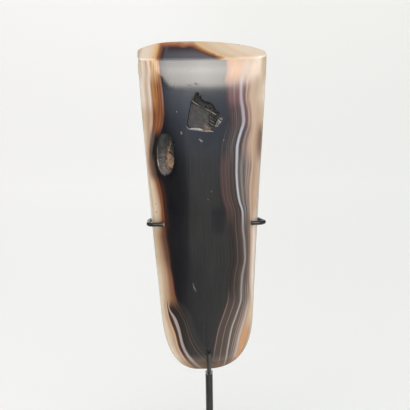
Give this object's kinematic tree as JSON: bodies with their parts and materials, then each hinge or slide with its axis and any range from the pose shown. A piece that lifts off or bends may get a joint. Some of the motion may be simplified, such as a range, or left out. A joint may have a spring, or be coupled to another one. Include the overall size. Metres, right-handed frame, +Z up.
{
  "type": "agate adze on a museum mount",
  "caption": "Polished banded stone adze blade, standing butt down in a bent-wire cradle on a slim rod and a flat foot.",
  "frame": {"origin": "centre of the foot's underside, with the upright rod on the Z axis", "axes": "+X to the viewer's right, +Y to the back, +Z up along the blade, whose bevelled front looks along -Y"},
  "size_m": [0.11, 0.1, 0.3047],
  "materials": {
    "agate": "polished, with a dark smoky core and cream, amber and red-brown bands along the edges",
    "cradle_wire_paint": "satin black paint on steel wire, bare and dull at the cut tip",
    "side_wire_paint": "satin black paint on steel wire, rubbed pale at the tips",
    "rod_paint": "satin charcoal paint on a round steel bar",
    "foot_paint": "matt black paint on a flat steel plate"
  },
  "bodies": {
    "root": {"adze": "agate", "cradle_wire": "cradle_wire_paint", "side_wire": "side_wire_paint", "upright_rod": "rod_paint", "base_plate": "foot_paint"}
  },
  "joints": []
}
